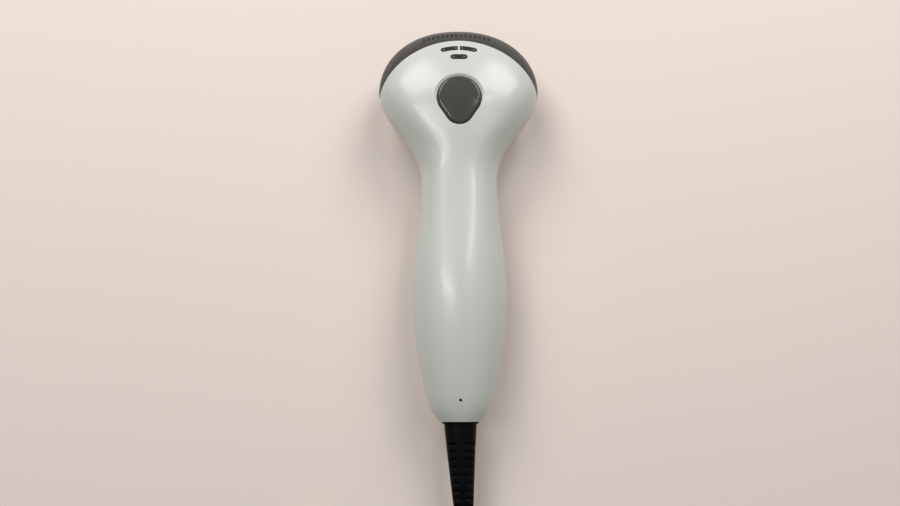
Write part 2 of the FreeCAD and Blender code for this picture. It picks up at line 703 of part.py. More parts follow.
# The main board's chips: width, depth, height, middle and rear edge.
CHIPS = [(12.0, 12.0, 1.4, 0.0, -38.5), (8.0, 5.0, 1.2, -7.0, -25.0), (5.0, 4.0, 1.1, 8.0, -25.0),
         (6.0, 5.0, 1.5, 8.5, -58.0), (3.2, 2.5, 2.0, -9.0, -56.0), (3.2, 2.5, 2.0, -9.0, -61.0)]
chips = [box("chip", width, depth, tall, x, y, "main_board_z + board_thickness")
         for width, depth, tall, x, y in CHIPS]
keep(group("board_chips", chips), "board_chips")
keep(rod("beeper", "6", "7", "0", BEEPER_Y, "main_board_z + board_thickness"), "beeper")

# Flat ribbon from the main board's end, up through the neck, to the engine board.
RIBBON_WIDTH = 12.0
RIBBON_THICKNESS = 0.3
ribbon_low = size("main_board_z") + size("board_thickness") + 1.0
ribbon_high = size("engine_board_z") - 1.2
ribbon_path = [(-4.6, ribbon_low), (6.0, ribbon_low), (28.0, ribbon_high), (41.0, ribbon_high)]


BEND_SHARE = 0.45       # share of a straight run that each arc at its ends may use


def rounded_path(points):
    """Straight runs joined by tangent arcs, and the radii of the arcs."""
    edges = []
    radii = []
    start = points[0]
    for before, corner, after in zip(points, points[1:], points[2:]):
        into = corner - before
        out = after - corner
        reach = BEND_SHARE * min(into.Length, out.Length)
        turn = into.getAngle(out)
        radius = reach / math.tan(turn / 2)
        radii.append(radius)
        into.normalize()
        out.normalize()
        entry = corner - into * reach
        leave = corner + out * reach
        inwards = out - into
        inwards.normalize()
        middle = corner + inwards * (radius / math.cos(turn / 2) - radius)
        edges.append(Part.LineSegment(start, entry).toShape())
        edges.append(Part.Arc(entry, middle, leave).toShape())
        start = leave
    edges.append(Part.LineSegment(start, points[-1]).toShape())
    return Part.Wire(edges), radii


def ribbon_face():
    """The ribbon's side view: straight stretches with rounded bends."""
    path, _ = rounded_path([Vector(0, y, z) for y, z in ribbon_path])
    return path.makeOffset2D(RIBBON_THICKNESS / 2, openResult=False, fill=True)


ribbon = doc.addObject("Part::Extrusion", "board_ribbon")
ribbon.Base = feature("ribbon_outline", ribbon_face())
ribbon.DirMode = "Custom"
ribbon.Dir = Vector(1, 0, 0)
ribbon.LengthFwd = RIBBON_WIDTH
ribbon.Solid = True
ribbon.Placement = Placement(Vector(-RIBBON_WIDTH / 2, 0, 0), Rotation())
keep(ribbon, "board_ribbon")
connector_low = cut("connector_low", box("connector_low_case", "15", "3", "2.2", "0", "0 - 5.6",
                                         "main_board_z + board_thickness"),
                    box("connector_low_slot", "12.2", "4", "0.5", "0", "0 - 4.8",
                        "main_board_z + board_thickness + 0.75"))
connector_high = cut("connector_high", box("connector_high_case", "15", "3", "2.2", "0", "40.2",
                                           "engine_board_z - 2.2"),
                     box("connector_high_slot", "12.2", "2", "0.5", "0", "39.2",
                         "engine_board_z - 1.45"))
keep(group("ribbon_connectors", [connector_low, connector_high]), "ribbon_connectors")

# ---------------------------------------------------------------- scan engine

floor_plate = plate("chassis_floor_plate", "chassis_width", "chassis_length", "chassis_floor", "0",
                    "chassis_y", "chassis_z", "2")
chassis_posts = [rod("chassis_post", "post_radius", "engine_board_z - chassis_z", x, y, "chassis_z")
                 for x, y in post_places]
cradle = box("laser_cradle", "laser_length", "8.4", "beam_z - chassis_z", "0 - 14.5", "mirror_y - 4.2",
             "chassis_z")
blank = fuse("chassis_blank", [floor_plate, cradle] + chassis_posts)
laser_bore = rod("laser_bore", "laser_radius + 0.02", "14", "0 - 21.5", "mirror_y", "beam_z",
                 Vector(0, 1, 0), 90)
drills = [rod("post_drill", ENGINE_SCREW_RADIUS, "9", x, y, "engine_board_z - 8") for x, y in post_places]
shaft_hole = rod("shaft_hole", "shaft_radius", "6", "mirror_x", "mirror_y", "chassis_z - 1")
keep(cut("engine_chassis", blank, fuse("chassis_cuts", [laser_bore, shaft_hole] + drills)), "engine_chassis")

keep(rod("mirror_shaft", "shaft_radius", "16", "mirror_x", "mirror_y", "chassis_z"), "mirror_shaft")


def turned(name, outline, x, y, z, axis=None, angle=0.0):
    """A round piece turned about its own Z from radius and height pairs."""
    body = new_body(name)
    drawing = sketch(body, "XZ_Plane")
    corners = [Vector(radius, height, 0) for radius, height in outline]
    for i, corner in enumerate(corners):
        drawing.addGeometry(Part.LineSegment(corner, corners[(i + 1) % len(corners)]), False)
    spin = body.newObject("PartDesign::Revolution", name + "_turn")
    spin.Profile = drawing
    spin.ReferenceAxis = (drawing, ["V_Axis"])
    spin.Angle = 360.0
    return place(body, x, y, z, axis, angle)


radius = size("laser_radius")
length = size("laser_length")
barrel = [(0, 0), (radius - 0.6, 0), (radius - 0.6, 2.0), (radius, 2.0), (radius, length),
          (1.6, length), (1.6, length - 2.2), (0, length - 2.2)]
keep(turned("laser_module", barrel, "0 - 20", "mirror_y", "beam_z", Vector(0, 1, 0), 90), "laser_module")
keep(rod("laser_lens", "1.55", "1.8", "laser_length - 22", "mirror_y", "beam_z", Vector(0, 1, 0), 90),
     "laser_lens")

collector_blank = box("collector_blank", "1.8", "12", "11", "0 - 7.6", "mirror_y - 6",
                      "chassis_z + chassis_floor")
dish = doc.addObject("Part::Sphere", "collector_dish")
dish.Radius = 22
place(dish, "0 - 7.6 + 0.9 + 21.2", "mirror_y", "beam_z")
hollowed = cut("collector_hollowed", collector_blank, dish)
beam_hole = rod("collector_hole", "1.3", "6", "0 - 11", "mirror_y", "beam_z", Vector(0, 1, 0), 90)
keep(cut("collecting_mirror", hollowed, beam_hole), "collecting_mirror")

# The scan mirror's rotor, drawn as it faces forwards and then turned 45 degrees
# to the left: a bush on the shaft, an arm to the rear and a seat for the mirror.
ROTOR_TURN = 45.0
ROTOR_LOW = 10.2
UP = Vector(0, 0, 1)
bush_radius = size("shaft_radius") + size("shaft_clearance") + size("rotor_bore_wall")
bore_radius = size("shaft_radius") + size("shaft_clearance")
mirror_gap = bush_radius + 0.4


def rotor_part(shape):
    """Turn a shape about the shaft and put it on the engine."""
    turned_shape = shape.copy()
    turned_shape.rotate(Vector(), UP, ROTOR_TURN)
    turned_shape.translate(Vector(size("mirror_x"), size("mirror_y"), 0))
    return turned_shape


bush = Part.makeCylinder(bush_radius, size("mirror_height"), Vector(0, 0, ROTOR_LOW))
seat = block(-4.0, 0.4, ROTOR_LOW, 8.0, mirror_gap - 0.4, size("mirror_height"))
arm = block(-1.1, -8.2, ROTOR_LOW + 2.5, 2.2, 8.0, 3.0)
bore = Part.makeCylinder(bore_radius, 20, Vector(0, 0, ROTOR_LOW - 1))
mirror_glass = block(-size("mirror_length") / 2, mirror_gap, ROTOR_LOW, size("mirror_length"),
                     size("mirror_thickness"), size("mirror_height"))
keep(feature("mirror_rotor", rotor_part(bush.fuse(seat).fuse(arm).cut(bore))), "mirror_rotor")
keep(feature("scan_mirror", rotor_part(mirror_glass)), "scan_mirror")
magnet = block(-2.2, -10.0, ROTOR_LOW + 1.8, 4.4, 1.8, 4.4)
keep(feature("mirror_magnet", rotor_part(magnet)), "mirror_magnet")
winding = Part.makeCylinder(4.4, 3.0, Vector(0, -14.2, ROTOR_LOW + 4.0), Vector(0, 1, 0))
winding = winding.cut(Part.makeCylinder(1.9, 5.0, Vector(0, -15.0, ROTOR_LOW + 4.0), Vector(0, 1, 0)))
bobbin = Part.makeCylinder(1.85, 3.0, Vector(0, -14.2, ROTOR_LOW + 4.0), Vector(0, 1, 0))
keep(feature("drive_coil", rotor_part(winding)), "drive_coil")
keep(feature("coil_core", rotor_part(bobbin)), "coil_core")

diode = box("photodiode", "5", "5", "1.8", "6", "mirror_y - 2.5", "engine_board_z - 1.8")
keep(diode, "photodiode")
keep(box("optical_filter", "5.4", "5.4", "0.8", "6", "mirror_y - 2.7", "engine_board_z - 2.6"),
     "optical_filter")


def screw(name, x, y, z, radius, head_radius, head_height, shank, upwards):
    """A pan-head screw; z is the seat of its head."""
    axis = Vector(1, 0, 0)
    angle = 0.0 if upwards else 180.0
    outline = [(0, -head_height), (head_radius * 0.8, -head_height), (head_radius, -head_height * 0.4),
               (head_radius, 0), (radius, 0), (radius, shank - 1), (radius * 0.4, shank), (0, shank)]
    return turned(name, outline, x, y, z, axis, angle)


housing_screws = [screw("housing_screw", sx, sy, seat, size("screw_radius"), size("screw_head_radius"),
                        size("screw_head_height"), SCREW_LENGTH, True)
                  for sx, sy, seat in screw_places]
keep(group("housing_screws", housing_screws), "housing_screws")
engine_screws = [screw("engine_screw", x, y, "engine_board_z + board_thickness", ENGINE_SCREW_RADIUS,
                       1.5, 0.9, 7.0, False)
                 for x, y in post_places]
keep(group("engine_screws", engine_screws), "engine_screws")

# ---------------------------------------------------------------- socket and plug

socket_low = "tail_axis_z - socket_height / 2 + 0.6"
socket_case = box("socket_case", "socket_width", "socket_length", "socket_height", "0", "socket_y",
                  socket_low)
plug_room = box("plug_room", "plug_width + 0.3", "socket_length - 1.6", "plug_height + 0.3", "0",
                "socket_y - 1", "tail_axis_z - plug_height / 2 - 0.15")
latch_room = box("latch_room", "latch_width + 0.8", "socket_length - 1.6", "3.2", "0", "socket_y - 1",
                 "tail_axis_z + plug_height / 2 - 0.5")
keep(cut("modular_socket", socket_case, fuse("socket_room", [plug_room, latch_room])), "modular_socket")

plug_body = box("plug_body", "plug_width", "plug_length", "plug_height", "0", "plug_y",
                "tail_axis_z - plug_height / 2")
CONTACTS = 10
CONTACT_PITCH = 1.02
slots = []
blades = []
for i in range(CONTACTS):
    x = (i - (CONTACTS - 1) / 2.0) * CONTACT_PITCH
    slots.append(box("contact_slot", "0.5", "6", "2.4", x, "plug_y + plug_length - 5.5",
                     "tail_axis_z - plug_height / 2 - 0.4"))
    blades.append(box("contact_blade", "0.36", "4.6", "1.7", x, "plug_y + plug_length - 5.5",
                      "tail_axis_z - plug_height / 2 + 0.25"))
keep(cut("modular_plug", plug_body, fuse("contact_slots", slots)), "modular_plug")
keep(group("plug_contacts", blades), "plug_contacts")

# The latch springs up from the plug's nose; a pin through the release hole
# presses its free end down.
LATCH_RISE = 6.0        # degrees that the latch leans up at rest
LATCH_LENGTH = 13.0
latch_width = size("latch_width")
latch_thickness = size("latch_thickness")
root_y = size("plug_y") + size("plug_length") - 1.6
root_z = size("tail_axis_z") + size("plug_height") / 2 + size("latch_gap") + latch_thickness / 2
arm = block(-latch_width / 2, -LATCH_LENGTH, -latch_thickness / 2, latch_width, LATCH_LENGTH, latch_thickness)
arm.rotate(Vector(), Vector(1, 0, 0), -LATCH_RISE)
root = Part.makeCylinder(latch_thickness / 2, latch_width, Vector(-latch_width / 2, 0, 0), Vector(1, 0, 0))
latch = arm.fuse(root).translated(Vector(0, root_y, root_z))
keep(feature("plug_latch", latch), "plug_latch")


def flat_oval(width, height, x, y, z, lean):
    """An elliptical section of the strain relief, leaning with its axis."""
    oval = Part.Ellipse(Vector(), width / 2, height / 2).toShape()
    wire = Part.Wire([oval])
    wire.rotate(Vector(), Vector(1, 0, 0), 90.0 + lean)
    wire.translate(Vector(x, y, z))
    return wire


# The strain relief droops a little and drifts to the right as it narrows:
# distance behind the scanner, sideways shift, height, share of the taper, lean.
BOOT_AXIS = [(0.0, 0.0, 17.2, 0.0, 0.0), (13.0, 0.3, 16.7, 0.25, 3.0), (26.0, 0.8, 15.5, 0.5, 7.0),
             (39.0, 1.4, 13.5, 0.75, 11.0), (51.0, 2.0, 10.9, 1.0, 14.0)]
boot_wires = []
for behind, shift, height, taper, lean in BOOT_AXIS:
    tip = size("boot_tip")
    boot_wires.append(flat_oval(size("boot_width") + (tip - size("boot_width")) * taper,
                                size("boot_height") + (tip - 0.02 - size("boot_height")) * taper,
                                shift, tail - behind, height, lean))
boot = Part.makeLoft(boot_wires, True, False)
collar = Part.Face(rounded_rectangle(size("boot_width") / 2 - 0.4, size("boot_height") / 2 - 0.1, 4.2,
                                     size("plug_y"), size("tail_axis_z")))
boot = boot.fuse(collar.extrude(Vector(0, tail - size("plug_y") - 0.5, 0)))
keep(feature("strain_relief", boot), "strain_relief")

# ---------------------------------------------------------------- cable

cable_radius = size("cable_radius")
coil_x = size("coil_x")
coil_y = size("coil_y")
outside = size("coil_mean_radius") + size("coil_band_width") / 2
lane = outside - cable_radius
_, exit_shift, exit_z, _, exit_lean = BOOT_AXIS[-1]
exit_y = tail - BOOT_AXIS[-1][0]
# From the strain relief down to the floor and on to the coil.
LEAD_ROUTE = [Vector(exit_shift, exit_y, exit_z), Vector(2.9, -159.5, 7.6), Vector(4.6, -172.0, 4.6),
              Vector(6.9, -185.0, 2.9), Vector(8.8, -198.0, 2.6), Vector(9.5, -210.0, 2.8),
              Vector(coil_x + lane, -220.0, 3.4)]
# From the far side of the coil's top layer down to the plug beside it.
TAIL_ROUTE = [Vector(coil_x - lane, -217.0, 8.3), Vector(coil_x - lane - 0.9, -204.0, 7.2),
              Vector(coil_x - lane - 3.0, -192.5, 5.4), Vector(coil_x - lane - 4.6, -181.0, 4.5)]


def tube(route):
    """A plain round tube along a route, with its volume checked."""
    path, radii = rounded_path(route)
    start = route[0]
    along = route[1] - route[0]
    ring = Part.Wire([Part.Circle(start, along, cable_radius).toShape()])
    solid = path.makePipeShell([ring], True, False)
    section = math.pi * cable_radius ** 2
    ratio = solid.Volume / (section * path.Length)
    print("tube length %.1f, tightest bend %.1f, volume ratio %.4f" % (path.Length, min(radii), ratio))
    return solid


def coil_ring(grow, degrees):
    """The coil's outer form: a ring with a rounded rectangular section."""
    band = size("coil_band_width") / 2 + grow
    tall = size("coil_band_height") / 2 + grow
    middle = size("coil_lift") + size("coil_band_height") / 2
    wire = rounded_rectangle(band, tall, cable_radius + grow, 0, middle)
    wire.translate(Vector(size("coil_mean_radius"), 0, 0))
    solid = Part.Face(wire).revolve(Vector(), Vector(0, 0, 1), degrees)
    solid.translate(Vector(coil_x, coil_y, 0))
    return solid


coil = coil_ring(0.0, 360.0)
keep(feature("cable_coil", coil), "cable_coil")

tie = coil_ring(size("tie_thickness"), size("tie_angle")).cut(coil)
tie.rotate(Vector(coil_x, coil_y, 0), UP, -90.0 - size("tie_angle") / 2)
keep(feature("coil_tie", tie), "coil_tie")

# The host plug lies beside the coil and points back towards the scanner.
plug_x, plug_start, plug_z = TAIL_ROUTE[-1] + Vector(0, 0, 0.05)
grip_sections = [(0.0, 0.45), (3.0, 0.62), (9.0, 0.95), (19.0, 1.0), (size("usb_grip_length"), 0.96)]
grip_wires = []
for along, share in grip_sections:
    wire = rounded_rectangle(size("usb_width") / 2 * share, size("usb_height") / 2 * max(share, 0.66),
                             2.6 * share, plug_start + along, plug_z)
    wire.translate(Vector(plug_x, 0, 0))
    grip_wires.append(wire)
grip = Part.makeLoft(grip_wires, True, False)
keep(feature("usb_grip", grip), "usb_grip")


def trimmed(solid, neighbours):
    """A tube without the ends that run into its neighbours."""
    return max(solid.cut(neighbours).Solids, key=lambda part: part.Volume)


keep(feature("cable_lead", trimmed(tube(LEAD_ROUTE), [coil, boot])), "cable_lead")
keep(feature("cable_tail", trimmed(tube(TAIL_ROUTE), [coil, grip])), "cable_tail")
shell_y = plug_start + size("usb_grip_length")
can = new_body("usb_shell")
can_outline = sketch(can, "XZ_Plane")
draw_rectangle(can_outline, "usb_shell_width", "usb_shell_height")
can_pad = pad(can, can_outline, "usb_shell_length")
can_pad.Reversed = True
can_opening = sketch(can, "XZ_Plane")
draw_rectangle(can_opening, "usb_shell_width - 2 * usb_shell_wall", "usb_shell_height - 2 * usb_shell_wall")
pocket(can, can_opening, "usb_shell_length", False)
place(can, plug_x, shell_y, plug_z)
keep(can, "usb_shell")
keep(box("usb_tongue", "11", "usb_shell_length - 1", "1.9", plug_x, shell_y, plug_z), "usb_tongue")
STRIP_THICKNESS = 0.12
STRIP_PITCH = 2.3
strips = [box("usb_contact", "1.1", "usb_shell_length - 4", STRIP_THICKNESS, plug_x + (i - 1.5) * STRIP_PITCH,
              shell_y + 1, plug_z - STRIP_THICKNESS) for i in range(4)]
keep(group("usb_contacts", strips), "usb_contacts")

# ---------------------------------------------------------------- output

doc.recompute()
for obj in doc.Objects:
    if "Invalid" in obj.State or "Error" in obj.State:
        raise ValueError("%s failed: %s" % (obj.Name, obj.State))
os.makedirs("parts", exist_ok=True)
for piece in pieces:
    shape = piece.Shape
    if shape.isNull() or not shape.isValid() or not shape.Solids:
        raise ValueError("%s has no valid solid" % piece.Label)
for piece in pieces:
    piece.Shape.exportStep("parts/%s.step" % piece.Label)
    print("%-20s %2d solids %9.1f mm3" % (piece.Label, len(piece.Shape.Solids), piece.Shape.Volume))
print(len(pieces), "nodes")
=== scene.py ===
import json
import math

import bmesh
import bpy
from mathutils import Euler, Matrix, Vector
from mathutils.bvhtree import BVHTree


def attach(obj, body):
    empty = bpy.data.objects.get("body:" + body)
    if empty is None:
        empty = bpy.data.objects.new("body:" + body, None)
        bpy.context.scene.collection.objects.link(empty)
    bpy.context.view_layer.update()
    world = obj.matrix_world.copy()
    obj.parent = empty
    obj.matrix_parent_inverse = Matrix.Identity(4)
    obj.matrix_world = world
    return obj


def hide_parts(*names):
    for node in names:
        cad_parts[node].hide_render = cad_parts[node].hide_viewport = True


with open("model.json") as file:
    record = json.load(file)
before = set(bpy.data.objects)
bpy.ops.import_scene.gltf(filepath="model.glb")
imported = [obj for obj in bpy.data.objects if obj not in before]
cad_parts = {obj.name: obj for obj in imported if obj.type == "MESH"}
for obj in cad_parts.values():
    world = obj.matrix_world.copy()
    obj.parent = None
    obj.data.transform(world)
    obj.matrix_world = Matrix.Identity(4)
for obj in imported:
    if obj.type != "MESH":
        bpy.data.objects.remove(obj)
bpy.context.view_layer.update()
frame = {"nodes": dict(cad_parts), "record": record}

MM = 0.001
nodes = frame["nodes"]


# ---------------------------------------------------------------- camera

# The scanner is seen from above its cable end, tilted a little towards the head.
CAMERA_AT = Vector((-7.6, -95.4, 349.0)) * MM
CAMERA_TILT = (13.087, -0.506, -0.181)      # degrees about X, Y and Z
CAMERA_LENS = 28.44                         # mm, on a 36 mm wide sensor

camera_data = bpy.data.cameras.new("camera")
camera_data.lens = CAMERA_LENS
camera_data.sensor_width = 36.0
camera_data.clip_start = 0.01
camera = bpy.data.objects.new("camera", camera_data)
camera.location = CAMERA_AT
camera.rotation_euler = Euler([math.radians(turn) for turn in CAMERA_TILT], "XYZ")
bpy.context.scene.collection.objects.link(camera)
bpy.context.scene.camera = camera


# ---------------------------------------------------------------- materials

def new_material(name):
    """A material with only its Principled shader and output."""
    material = bpy.data.materials.new(name)
    material.use_nodes = True
    return material, material.node_tree, material.node_tree.nodes["Principled BSDF"]


def noise(tree, scale, detail=3.0, roughness=0.55, stretch=None):
    """Noise that follows the object's own coordinates, in metres."""
    place = tree.nodes.new("ShaderNodeTexCoord")
    texture = tree.nodes.new("ShaderNodeTexNoise")
    texture.inputs["Scale"].default_value = scale
    texture.inputs["Detail"].default_value = detail
    texture.inputs["Roughness"].default_value = roughness
    source = place.outputs["Object"]
    if stretch is not None:
        mapping = tree.nodes.new("ShaderNodeMapping")
        mapping.inputs["Scale"].default_value = stretch
        tree.links.new(source, mapping.inputs["Vector"])
        source = mapping.outputs["Vector"]
    tree.links.new(source, texture.inputs["Vector"])
    return texture.outputs["Fac"]


def ramp(tree, value, low, high):
    """Map a 0 to 1 value onto two colours or two greys."""
    node = tree.nodes.new("ShaderNodeMix")
    node.data_type = "RGBA"
    node.inputs["A"].default_value = (*low, 1.0)
    node.inputs["B"].default_value = (*high, 1.0)
    tree.links.new(value, node.inputs["Factor"])
    return node.outputs["Result"]


def spread(tree, value, low, high):
    """Map the middle of a noise onto a range of numbers."""
    node = tree.nodes.new("ShaderNodeMapRange")
    node.inputs["From Min"].default_value = 0.3
    node.inputs["From Max"].default_value = 0.7
    node.inputs["To Min"].default_value = low
    node.inputs["To Max"].default_value = high
    tree.links.new(value, node.inputs["Value"])
    return node.outputs["Result"]


def bump(tree, shader, heights):
    """Stack bumps: each is a height output, a strength and a distance in metres."""
    previous = None
    for height, strength, distance in heights:
        node = tree.nodes.new("ShaderNodeBump")
        node.inputs["Strength"].default_value = strength
        node.inputs["Distance"].default_value = distance
        tree.links.new(height, node.inputs["Height"])
        if previous is not None:
            tree.links.new(previous, node.inputs["Normal"])
        previous = node.outputs["Normal"]
    tree.links.new(previous, shader.inputs["Normal"])


def moulded_plastic(name, colour, roughness, grain=0.15, shade=0.04, wear=0.045, waviness=0.05, gloss=0.0):
    """Injection moulded plastic: fine eroded grain, faint mottling and handling marks."""
    material, tree, shader = new_material(name)
    darker = [channel * (1 - shade) for channel in colour]
    lighter = [min(1.0, channel * (1 + shade)) for channel in colour]
    tree.links.new(ramp(tree, noise(tree, 55.0, 4.0), darker, lighter), shader.inputs["Base Color"])
    handling = noise(tree, 240.0, 5.0, 0.65)
    tree.links.new(spread(tree, handling, roughness - wear, roughness + wear), shader.inputs["Roughness"])
    shader.inputs["IOR"].default_value = 1.5
    shader.inputs["Coat Weight"].default_value = gloss
    shader.inputs["Coat Roughness"].default_value = 0.17
    bump(tree, shader, [(noise(tree, 2600.0, 2.0), grain, 0.00003),
                        (noise(tree, 90.0, 2.0), waviness, 0.0003)])
    return material


def polished_plastic(name, colour, roughness=0.06, scratches=0.12):
    """Glossy moulded plastic with hairline scratches and a little dust."""
    material, tree, shader = new_material(name)
    lighter = [min(1.0, channel * 1.12 + 0.002) for channel in colour]
    tree.links.new(ramp(tree, noise(tree, 420.0, 6.0, 0.7), colour, lighter), shader.inputs["Base Color"])
    smear = noise(tree, 160.0, 6.0, 0.7, (1.0, 0.35, 1.0))
    tree.links.new(spread(tree, smear, roughness, roughness + 0.09), shader.inputs["Roughness"])
    shader.inputs["IOR"].default_value = 1.49
    hairlines = noise(tree, 900.0, 2.0, 0.5, (1.0, 0.04, 1.0))
    bump(tree, shader, [(hairlines, scratches, 0.00002), (noise(tree, 60.0, 1.0), 0.04, 0.0004)])
    return material


def metal(name, colour, roughness, stretch=(1.0, 12.0, 1.0)):
    """Plated or machined metal with faint directional marks."""
    material, tree, shader = new_material(name)
    darker = [channel * 0.88 for channel in colour]
    brushed = noise(tree, 700.0, 4.0, 0.6, stretch)
    tree.links.new(ramp(tree, brushed, darker, colour), shader.inputs["Base Color"])
    marks = noise(tree, 1500.0, 4.0, 0.6, stretch)
    tree.links.new(spread(tree, marks, roughness - 0.06, roughness + 0.08), shader.inputs["Roughness"])
    shader.inputs["Metallic"].default_value = 1.0
    bump(tree, shader, [(marks, 0.12, 0.00002)])
    return material


def soft_rubber(name, colour, roughness=0.5, dust=0.004, specular=0.5):
    """Black cable jacket and boot rubber: satin, with dust and tiny pits."""
    material, tree, shader = new_material(name)
    shader.inputs["Specular IOR Level"].default_value = specular
    dusty = [channel * 1.6 + dust for channel in colour]
    tree.links.new(ramp(tree, noise(tree, 300.0, 6.0, 0.7), colour, dusty), shader.inputs["Base Color"])
    scuffs = noise(tree, 420.0, 5.0, 0.7)
    tree.links.new(spread(tree, scuffs, roughness - 0.08, roughness + 0.1), shader.inputs["Roughness"])
    shader.inputs["IOR"].default_value = 1.48
    bump(tree, shader, [(noise(tree, 3200.0, 3.0), 0.2, 0.00003), (noise(tree, 500.0, 3.0), 0.1, 0.00006)])
    return material


def tinted_glass(name, colour, roughness=0.03):
    """The deep red window: a dark body under a polished face."""
    material, tree, shader = new_material(name)
    deeper = [channel * 0.7 for channel in colour]
    tree.links.new(ramp(tree, noise(tree, 40.0, 2.0), deeper, colour), shader.inputs["Base Color"])
    smear = noise(tree, 130.0, 6.0, 0.7, (0.4, 1.0, 1.0))
    tree.links.new(spread(tree, smear, roughness, roughness + 0.06), shader.inputs["Roughness"])
    shader.inputs["IOR"].default_value = 1.49
    shader.inputs["Transmission Weight"].default_value = 0.35
    shader.inputs["Coat Weight"].default_value = 0.6
    shader.inputs["Coat Roughness"].default_value = 0.02
    bump(tree, shader, [(noise(tree, 35.0, 1.0), 0.02, 0.0004)])
    return material


SHELL_COLOUR = (0.605, 0.632, 0.583)
BEZEL_COLOUR = (0.036, 0.0355, 0.034)
BUTTON_COLOUR = (0.064, 0.064, 0.059)

finishes = {
    "shell": moulded_plastic("shell_plastic", SHELL_COLOUR, 0.32, grain=0.08, shade=0.012, wear=0.02,
                             waviness=0.008, gloss=0.22),
    "bezel": moulded_plastic("bezel_plastic", BEZEL_COLOUR, 0.42, grain=0.35, shade=0.06),
    "window": tinted_glass("window_red", (0.16, 0.006, 0.012)),
    "gasket": soft_rubber("gasket_foam", (0.02, 0.02, 0.02), 0.7),
    "button": polished_plastic("button_plastic", BUTTON_COLOUR, 0.08),
    "switch": moulded_plastic("switch_plastic", (0.03, 0.03, 0.03), 0.5),
    "plunger": moulded_plastic("plunger_plastic", (0.5, 0.08, 0.04), 0.4),
    "lens": polished_plastic("lens_smoked", (0.030, 0.034, 0.024), 0.08),
    "lamp": polished_plastic("lamp_clear", (0.8, 0.78, 0.6), 0.2),
    "board": moulded_plastic("board_mask", (0.02, 0.12, 0.04), 0.3, shade=0.15),
    "chip": moulded_plastic("chip_epoxy", (0.02, 0.02, 0.02), 0.55),
    "beeper": moulded_plastic("beeper_case", (0.02, 0.02, 0.02), 0.45),
    "ribbon": moulded_plastic("ribbon_film", (0.7, 0.7, 0.66), 0.4),
    "connector": moulded_plastic("connector_nylon", (0.72, 0.7, 0.6), 0.45),
    "chassis": metal("chassis_zinc", (0.5, 0.5, 0.51), 0.45),
    "steel": metal("shaft_steel", (0.6, 0.6, 0.6), 0.25),
    "brass": metal("laser_brass", (0.75, 0.55, 0.25), 0.3),
    "clear": polished_plastic("lens_clear", (0.75, 0.78, 0.8), 0.03),
    "mirror": metal("mirror_silver", (0.9, 0.9, 0.9), 0.07),
    "rotor": moulded_plastic("rotor_plastic", (0.04, 0.04, 0.04), 0.45),
    "magnet": metal("magnet_nickel", (0.5, 0.5, 0.52), 0.3),
    "winding": metal("winding_copper", (0.65, 0.28, 0.12), 0.35, (1.0, 1.0, 14.0)),
    "filter": tinted_glass("filter_red", (0.3, 0.01, 0.02)),
    "screw": metal("screw_zinc", (0.42, 0.42, 0.42), 0.35),
    "socket": moulded_plastic("socket_plastic", (0.03, 0.03, 0.03), 0.45),
    "plug": polished_plastic("plug_plastic", (0.03, 0.03, 0.03), 0.2),
    "contact": metal("contact_gold", (0.85, 0.62, 0.25), 0.2),
    "cable": soft_rubber("cable_rubber", (0.0010, 0.0010, 0.0011), 0.5, dust=0.0004, specular=0.12),
    "tie": soft_rubber("tie_fabric", (0.012, 0.012, 0.012), 0.85),
    "plated": metal("plug_nickel", (0.66, 0.66, 0.65), 0.22),
    "tongue": moulded_plastic("tongue_plastic", (0.8, 0.8, 0.78), 0.4),
}
for part in frame["record"]["subparts"]:
    mesh = nodes[part["node"]].data
    mesh.materials.clear()
    mesh.materials.append(finishes[part["material_slot"]])


# ---------------------------------------------------------------- building pieces

def add_piece(name, mesh, body, slot):
    """Put a finished mesh in the scene, riding a body, with its slot's finish."""
    piece = bpy.data.objects.new(name, mesh)
    bpy.context.scene.collection.objects.link(piece)
    if not mesh.materials:
        mesh.materials.append(finishes[slot])
    for face in mesh.polygons:
        face.use_smooth = len(face.vertices) <= 4       # end caps stay flat
    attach(piece, body)
    return piece


def finished_mesh(work, name):
    """Turn a bmesh under construction into a mesh with its faces outwards."""
    bmesh.ops.recalc_face_normals(work, faces=work.faces)
    mesh = bpy.data.meshes.new(name)
    work.to_mesh(mesh)
    work.free()
    return mesh


def rings_to_mesh(name, rings):
    """Skin a row of closed rings of equal count, and close both ends."""
    work = bmesh.new()
    rows = [[work.verts.new(point) for point in ring] for ring in rings]
    count = len(rings[0])
    for lower, upper in zip(rows, rows[1:]):
        for i in range(count):
            j = (i + 1) % count
            work.faces.new((lower[i], lower[j], upper[j], upper[i]))
    work.faces.new(list(reversed(rows[0])))
    work.faces.new(rows[-1])
    return finished_mesh(work, name)


# ---------------------------------------------------------------- cable

CABLE_RADIUS = 2.5 * MM
COIL_X, COIL_Y = -27.0, -225.0
COIL_LIFT = 0.9
# From the strain relief down to the floor and on to the coil, in millimetres.
LEAD_ROUTE = [(2.0, -148.0, 10.9), (2.9, -159.5, 7.6), (4.6, -172.0, 4.6), (6.9, -185.0, 2.9),
              (8.8, -198.0, 2.6), (9.5, -210.0, 2.8)]
# From the top of the coil's far side down to the plug beside it.
TAIL_ROUTE = [(-64.5, -204.0, 7.2), (-66.6, -192.5, 5.4), (-68.2, -181.0, 4.5)]
# One turn each: radius of the turn, and which row it lies in. The lower row is wound inwards
# and the upper row outwards.
LANES = [36.6, 31.5, 26.5, 21.4]
TURNS = [(lane, 0) for lane in LANES] + [(lane, 1) for lane in reversed(LANES)]
ROW_HEIGHT = 5.05
POINTS_PER_TURN = 24
SHIFT_SHARE = 0.3       # share of a turn over which the cable crosses to its next lane


